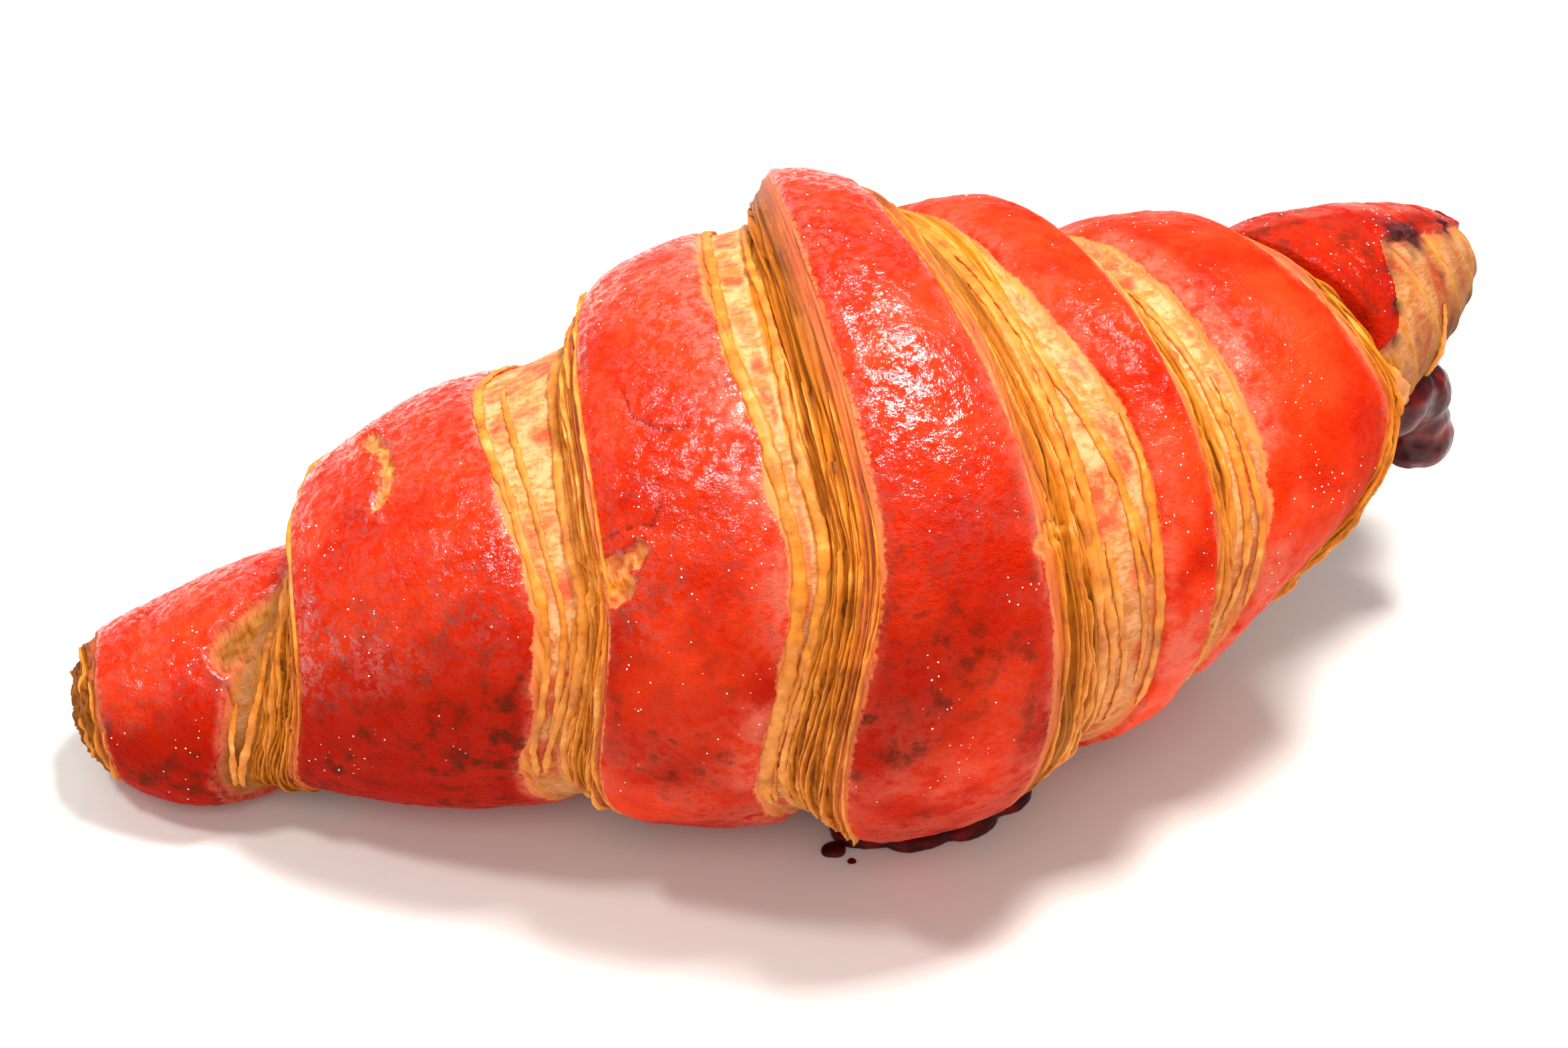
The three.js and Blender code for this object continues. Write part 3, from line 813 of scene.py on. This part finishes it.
# strips of dough that follow the ring: guide lines in, flattened tapering ribbons out
def stripTree():
    tree, add, given, ids = nodeTree("ring strips", {
        "Thickness": "Float", "Rough": "Float", "Seed": "Int", "Material": "Material"})
    half = add("GeometryNodeInputNamedAttribute", {"data_type": "FLOAT"}, {"Name": "halfWidth"})
    away = add("GeometryNodeInputNamedAttribute", {"data_type": "FLOAT_VECTOR"}, {"Name": "away"})
    line = add("GeometryNodeMeshToCurve", {}, {"Mesh": given["Geometry"]})
    line = add("GeometryNodeSetCurveNormal", {"mode": "FREE"}, {"Curve": line, "Normal": away})
    circle = add("GeometryNodeCurvePrimitiveCircle", {"mode": "RADIUS"}, {
        "Resolution": 10, "Radius": 1.0})
    flat = add("ShaderNodeCombineXYZ", {}, {"X": given["Thickness"], "Y": 1.0, "Z": 1.0})
    profile = add("GeometryNodeTransform", {}, {"Geometry": circle, "Scale": flat})
    ribbon = add("GeometryNodeCurveToMesh", {}, {
        "Curve": line, "Profile Curve": profile, "Scale": half, "Fill Caps": True})
    seedTurn = add("ShaderNodeCombineXYZ", {}, {"X": given["Seed"], "Y": 0.0, "Z": 0.0})
    at = add("ShaderNodeVectorMath", {"operation": "ADD"}, {
        0: add("GeometryNodeInputPosition"), 1: seedTurn})
    lumps = add("ShaderNodeTexNoise", {}, {
        "Vector": at, "Scale": perMillimetre(0.9), "Detail": 2.0}, out=1)
    lumps = add("ShaderNodeVectorMath", {"operation": "SUBTRACT"}, {0: lumps, 1: (0.5, 0.5, 0.5)})
    push = add("ShaderNodeVectorMath", {"operation": "SCALE"}, {0: lumps, "Scale": given["Rough"]})
    ribbon = add("GeometryNodeSetPosition", {}, {"Geometry": ribbon, "Offset": push})
    ribbon = add("GeometryNodeSetShadeSmooth", {}, {"Geometry": ribbon, "Shade Smooth": True})
    endTree(add, ribbon, given["Material"])
    return tree, ids


def speckTree():  # tiny grains scattered where the host says, each turned and sized its own way
    tree, add, given, ids = nodeTree("scattered grains", {
        "Density": "Float", "Smallest": "Float", "Largest": "Float", "Flatness": "Float",
        "Where": "String", "Seed": "Int", "Material": "Material"})
    weight = add("GeometryNodeInputNamedAttribute", {"data_type": "FLOAT"}, {
        "Name": given["Where"]})
    density = add("ShaderNodeMath", {"operation": "MULTIPLY"}, {0: weight, 1: given["Density"]})
    scatter = add("GeometryNodeDistributePointsOnFaces", {}, {
        "Mesh": given["Geometry"], "Density": density, "Seed": given["Seed"]}, out=None)
    grain = add("GeometryNodeMeshIcoSphere", {}, {"Radius": 1.0, "Subdivisions": 1})
    squash = add("ShaderNodeCombineXYZ", {}, {"X": 1.0, "Y": 0.8, "Z": given["Flatness"]})
    grain = add("GeometryNodeTransform", {}, {"Geometry": grain, "Scale": squash})
    size = add("FunctionNodeRandomValue", {"data_type": "FLOAT"}, {
        2: given["Smallest"], 3: given["Largest"], "Seed": given["Seed"]}, out=1)
    # tilted a little, turned any way
    turn = add("FunctionNodeRandomValue", {"data_type": "FLOAT_VECTOR"}, {
        0: (-0.3, -0.3, 0.0), 1: (0.3, 0.3, 6.28), "Seed": given["Seed"]})
    turn = add("FunctionNodeEulerToRotation", {}, {0: turn})
    turn = add("FunctionNodeRotateRotation", {"rotation_space": "LOCAL"}, {
        0: scatter.outputs["Rotation"], 1: turn})
    copies = add("GeometryNodeInstanceOnPoints", {}, {
        "Points": scatter.outputs["Points"], "Instance": grain, "Rotation": turn, "Scale": size})
    endTree(add, copies, given["Material"])
    return tree, ids


def plainMesh(piece):  # the mesh with its modifiers applied
    graph = bpy.context.evaluated_depsgraph_get()
    return bpy.data.meshes.new_from_object(piece.evaluated_get(graph))


def grow(name, host, tree, ids, given):  # run a tree on a host and keep the plain mesh
    modifier = host.modifiers.new("grow", "NODES")
    modifier.node_group = tree
    for key, value in given.items():
        modifier[ids[key]] = value
    bpy.context.view_layer.update()
    grown = plainMesh(host)
    host.modifiers.remove(modifier)
    grown.name = name
    piece = bpy.data.objects.new(name, grown)
    bpy.context.scene.collection.objects.link(piece)
    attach(piece, "root")
    return piece


# a line across a built wrap: its points in mm, the outward directions and the share of the way
def surfaceLine(wrapName, left, right, path, wander, lift, seed):
    b = built[wrapName]
    (firstAngle, firstT), (lastAngle, lastT) = path
    columns = np.nonzero((b["degrees"] >= firstAngle) & (b["degrees"] <= lastAngle))[0]
    degrees = b["degrees"][columns]
    share = (degrees - firstAngle) / (lastAngle - firstAngle)
    t = firstT + (lastT - firstT) * share
    drift = noise(np.stack([degrees / 24, t * 0 + seed, t * 0], -1), 1.0, seed)
    low = placeOf(left, degrees)
    x = low + (placeOf(right, degrees) - low) * t + wander * drift
    rows = np.nonzero(b["shown"])[0]
    places = []
    aways = []
    for c, place in zip(columns, x):
        row = np.interp(place, b["xs"][rows, c], rows)
        r = int(min(row, rows[-1] - 1))
        f = row - r
        away = b["out"][r, c]
        places.append(b["points"][r, c] * (1 - f) + b["points"][r + 1, c] * f + away * lift)
        aways.append(away)
    return np.array(places), np.array(aways), share


def guideLines(lines, halfWidths):  # many open lines as one mesh of edges
    points, aways, widths, links = [], [], [], []
    for (places, away, share), width in zip(lines, halfWidths):
        start = len(points)
        points.extend(places)
        aways.extend(away)
        # thin at both ends, and uneven along the way
        taper = np.sqrt(np.clip(np.minimum(share, 1 - share) * 7, 0.02, 1))
        widths.extend(width * mm * taper * (1 + 0.7 * cloud(places, 3.0, start % 97)))
        links.extend((start + k, start + k + 1) for k in range(len(places) - 1))
    given = {"halfWidth": np.array(widths), "away": np.array(aways)}
    return makeMesh("guide lines", np.array(points), [], given, edges=links)


def growStrips(name, settings, lines, halfWidths):
    guide = guideLines(lines, halfWidths)
    grow(name, guide, stripNodes, stripIds, {
        "Thickness": settings["thickness"], "Rough": settings["rough"] * mm,
        "Seed": settings["seed"], "Material": leafDough})
    bpy.data.objects.remove(guide)


stripNodes, stripIds = stripTree()

# pulled ribbons between two edges of a wrap: angle and share across at each end, half width, lift
ribbons = {
    "thickness": 0.42, "rough": 0.4, "seed": 3, "wander": 0.45,
    "paths": [
        ("left_tip", "firstSkinEnd", "secondFoot", [
            ((-10, 0.9), (118, 0.75), 0.5, 0.25),
            ((60, 0.2), (112, 0.5), 0.35, 0.2)]),
        ("second_wrap", "secondSkinEnd", "thirdFoot", [
            ((-75, 0.08), (30, 0.1), 0.55, 0.15),
            ((18, 0.12), (112, 0.3), 0.5, 0.2),
            ((-20, 0.3), (105, 0.62), 0.35, 0.2),
            ((-85, 0.9), (120, 0.92), 0.6, 0.2),
            ((55, 0.85), (108, 0.5), 0.4, 0.35)]),
        ("third_wrap", "thirdSkinEnd", "middleFoot", [
            ((-70, 0.12), (20, 0.2), 0.6, 0.25),
            ((5, 0.15), (116, 0.3), 0.8, 0.35),
            ((28, 0.95), (116, 0.45), 0.6, 0.4),
            ((-30, 0.98), (60, 0.9), 0.5, 0.3),
            ((50, 0.9), (118, 0.85), 0.45, 0.35)]),
        ("fifth_wrap", "middleRightFoot", "fifthSkinStart", [
            ((-80, 0.1), (115, 0.04), 0.7, 0.2),
            ((-20, 0.25), (112, 0.24), 0.6, 0.3),
            ((-5, 0.2), (72, 0.9), 0.55, 0.3),
            ((35, 0.95), (110, 0.97), 0.6, 0.3),
            ((60, 0.35), (116, 0.5), 0.45, 0.25),
            ((20, 0.55), (100, 0.82), 0.4, 0.25)]),
        ("sixth_wrap", "fifthFoot", "sixthSkinStart", [
            ((-70, 0.1), (110, 0.1), 0.7, 0.25),
            ((0, 0.35), (100, 0.55), 0.5, 0.3),
            ((30, 0.6), (95, 0.95), 0.45, 0.3)]),
        ("right_tip", 50.0, 74.0, [
            ((66, 0.05), (150, 0.35), 0.8, 0.3),
            ((70, 0.55), (150, 0.3), 0.6, 0.3)]),
    ],
}
lines = []
widths = []
for wrapName, left, right, paths in ribbons["paths"]:
    for begin, end, width, lift in paths:
        lines.append(surfaceLine(wrapName, left, right, (begin, end), ribbons["wander"], lift / 2,
                                 ribbons["seed"] + len(lines)))
        widths.append(width)
growStrips("pulled_ribbons", ribbons, lines, widths)

# leaf edges standing off the cut faces: how many from foot to rim, and the topmost angle
leafEdges = {
    "thickness": 4.5, "rough": 0.12, "seed": 11, "wander": 0.3,
    "lift": 0.05, "halfWidth": (0.07, 0.12), "start": 70, "length": (50, 150), "end": 150,
    "faces": [
        ("left_tip", -86.6, -83.0, 5, -150),
        ("second_wrap", "secondFoot", "secondRim", 12, -110),
        ("third_wrap", "thirdFoot", "thirdRim", 12, -60),
        ("middle_wrap", "middleFoot", "middleRim", 11, 5),
        ("middle_wrap", "middleRightRim", "middleRightFoot", 9, -100),
        ("fifth_wrap", "fifthRim", "fifthFoot", 7, -100),
        ("sixth_wrap", "sixthRim", "sixthLip", 4, 20),
    ],
}
dice = np.random.default_rng(leafEdges["seed"])
lines = []
widths = []
for wrapName, left, right, count, topmost in leafEdges["faces"]:
    for k in range(count):
        first = dice.uniform(topmost, leafEdges["start"])
        last = min(first + dice.uniform(*leafEdges["length"]), leafEdges["end"])
        t = (k + dice.uniform(0.15, 0.85)) / count
        path = ((first, t), (last, np.clip(t + dice.uniform(-0.08, 0.08), 0.02, 0.98)))
        lines.append(surfaceLine(wrapName, left, right, path, leafEdges["wander"],
                                 leafEdges["lift"], leafEdges["seed"] + k))
        widths.append(dice.uniform(*leafEdges["halfWidth"]))
growStrips("standing_leaf_edges", leafEdges, lines, widths)
print("ribbons and leaf edges grown")

# sugar grains dried into the glaze, and crumbs caught on the golden dough
grains = {
    "label": "sugar", "finish": sugar, "slot": "crust", "where": "grains", "bare": [],
    "density": 330000.0, "smallest": 0.05, "largest": 0.14, "flatness": 0.6, "seed": 5,
}
crumbs = {
    "label": "crumbs", "finish": leafDough, "slot": "layers", "where": "crumbs",
    "bare": ["middle_wrap"],  # no open dough on it for crumbs to lie on
    "density": 60000.0, "smallest": 0.07, "largest": 0.2, "flatness": 0.5, "seed": 9,
}
speckNodes, speckIds = speckTree()
for specks in (grains, crumbs):
    for name in built:
        if name in specks["bare"]:
            continue
        grow(specks["label"] + "_on_" + name, built[name]["piece"], speckNodes, speckIds, {
            "Density": specks["density"], "Smallest": specks["smallest"] * mm,
            "Largest": specks["largest"] * mm, "Flatness": specks["flatness"],
            "Where": specks["where"], "Seed": specks["seed"], "Material": specks["finish"]})
print("grains scattered")

# jam: what has pushed out at the raised tip, and what has run out underneath
jamPieces = {
    "widen": 1.15, "smooth": 0.5, "smoothTimes": 12, "seed": 91,
    "bumpHeight": 0.45, "bumpSize": 4.0, "clearance": 0.05,  # mm
    # how far they sag, how fine the skin is in mm, and x, y, z and size of each lump in mm
    "tip": (1.0, 0.35, [
        (57.0, 7.0, 32.6, 4.8), (61.8, 9.2, 31.8, 4.8), (65.4, 10.6, 30.8, 4.0),
        (66.6, 11.2, 27.0, 3.3), (67.0, 11.4, 23.8, 3.7)]),
    "pool": (0.42, 0.3, [
        (-3.0, -15.4, 0.4, 3.8), (2.0, -16.2, 0.5, 4.4), (7.0, -16.0, 0.4, 4.0),
        (12.0, -13.4, 0.3, 3.4)]),
    "drips": (0.5, 0.12, [(-7.6, -18.6, 0.3, 1.1), (-5.9, -20.6, 0.2, 0.6)]),
}


def joinLumps(name, flatten, fineness, lumps):  # rounded lumps melted into one skin
    parts = []
    for x, y, z, size in lumps:
        bpy.ops.mesh.primitive_ico_sphere_add(subdivisions=4, radius=size * mm)
        lump = bpy.context.object
        lump.data.transform(Matrix.Diagonal((jamPieces["widen"], 1.0, flatten, 1)))
        lump.data.transform(Matrix.Translation((np.array((x, y, z)) + rollShift) * mm))
        parts.append(lump)
    for lump in parts:
        lump.select_set(True)
    bpy.context.view_layer.objects.active = parts[0]
    bpy.ops.object.join()
    piece = parts[0]
    piece.name = name
    piece.data.name = name
    melt = piece.modifiers.new("melt", "REMESH")
    melt.mode = "VOXEL"
    melt.voxel_size = fineness * mm
    smooth = piece.modifiers.new("smooth", "SMOOTH")
    smooth.factor = jamPieces["smooth"]
    smooth.iterations = jamPieces["smoothTimes"]
    applied = plainMesh(piece)
    piece.modifiers.clear()
    piece.data = applied
    place = np.array([v.co for v in applied.vertices]) / mm
    normal = np.array([v.normal for v in applied.vertices])
    bumps = jamPieces["bumpHeight"] * cloud(place, jamPieces["bumpSize"], jamPieces["seed"])
    place = place + normal * bumps[:, None]
    place[:, 2] = np.maximum(place[:, 2], jamPieces["clearance"])
    applied.vertices.foreach_set("co", np.ravel(place * mm))
    applied.polygons.foreach_set("use_smooth", np.ones(len(applied.polygons), bool))
    applied.materials.clear()
    applied.materials.append(jam)
    applied.update()
    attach(piece, "root")
    return piece


tipJam = joinLumps("tip_jam", *jamPieces["tip"])
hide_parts("jam_tip")
poolJam = joinLumps("pool_jam", *jamPieces["pool"])
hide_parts("jam_pool")
joinLumps("jam_drips", *jamPieces["drips"])
print("jam made")

# studio: a pale floor, a broad light overhead, weak ones round it and a bright room
studio = {
    "azimuth": -13, "elevation": 38, "distance": 420, "aim": (0.0, 0.0, 32.0),  # degrees, mm
    "aimRight": -0.02183, "aimUp": -0.00362,  # the aim sits a little off the view's middle
    "lens": 88.9, "sensor": 36, "lampAim": 30, "floor": 4000,  # mm
    "room": 0.3, "paper": "#f4f3f1", "lampColour": "#fffaf4",
    # azimuth, elevation in degrees, distance and two sides in m, watts, whether it makes glints
    "lamps": {
        "overhead softbox": (97, 76, 0.7, 0.19, 0.16, 7.1, True),
        "left softbox": (-82, 62, 0.7, 0.1, 0.08, 1.7, True),
        "rear softbox": (190, 42, 0.9, 0.6, 0.4, 0.9, True),
        "front fill": (-12, 42, 0.9, 0.6, 0.5, 2.6, False),
    },
}
scene = bpy.context.scene
scene.view_settings.view_transform = "Standard"


def direction(azimuth, elevation):
    a = math.radians(azimuth)
    e = math.radians(elevation)
    return Vector((math.sin(a) * math.cos(e), -math.cos(a) * math.cos(e), math.sin(e)))


def placeCamera():
    target = Vector((np.array(studio["aim"]) + rollShift) * mm)
    back = direction(studio["azimuth"], studio["elevation"])
    turn = math.radians(studio["azimuth"])
    right = Vector((math.cos(turn), math.sin(turn), 0))
    up = back.cross(right)
    data = bpy.data.cameras.new("camera")
    data.lens = studio["lens"]
    data.sensor_width = studio["sensor"]
    data.clip_start = 10 * mm
    camera = bpy.data.objects.new("camera", data)
    scene.collection.objects.link(camera)
    camera.location = target + back * studio["distance"] * mm
    look = (-back + right * studio["aimRight"] + up * studio["aimUp"]).normalized()
    camera.rotation_euler = look.to_track_quat("-Z", "Y").to_euler()
    scene.camera = camera


def placeLamp(name, azimuth, elevation, distance, width, depth, watts, glints):
    data = bpy.data.lights.new(name, "AREA")
    data.shape = "RECTANGLE"
    data.size = width
    data.size_y = depth
    data.energy = watts
    data.color = linearColour(studio["lampColour"])[:3]
    lamp = bpy.data.objects.new(name, data)
    scene.collection.objects.link(lamp)
    lamp.visible_glossy = glints
    away = direction(azimuth, elevation)
    lamp.location = Vector((0, 0, studio["lampAim"] * mm)) + away * distance
    lamp.rotation_euler = away.to_track_quat("Z", "Y").to_euler()


placeCamera()
for name, lamp in studio["lamps"].items():
    placeLamp(name, *lamp)
world = bpy.data.worlds.new("studio")
world.use_nodes = True
world.node_tree.nodes["Background"].inputs[0].default_value = (1, 1, 1, 1)
world.node_tree.nodes["Background"].inputs[1].default_value = studio["room"]
scene.world = world

floorMaterial, floorTree = newMaterial("matt white studio paper")
floorShader = addNode(floorTree, "ShaderNodeBsdfPrincipled", {}, {
    "Base Color": studio["paper"], "Roughness": 0.9})
addNode(floorTree, "ShaderNodeOutputMaterial", {}, {"Surface": floorShader}, out=None)
half = studio["floor"] / 2
corners = np.array([(-half, -half, 0), (half, -half, 0), (half, half, 0), (-half, half, 0)])
floor = makeMesh("floor", corners, [(0, 1, 2, 3)], None, floorMaterial)
print("studio set")
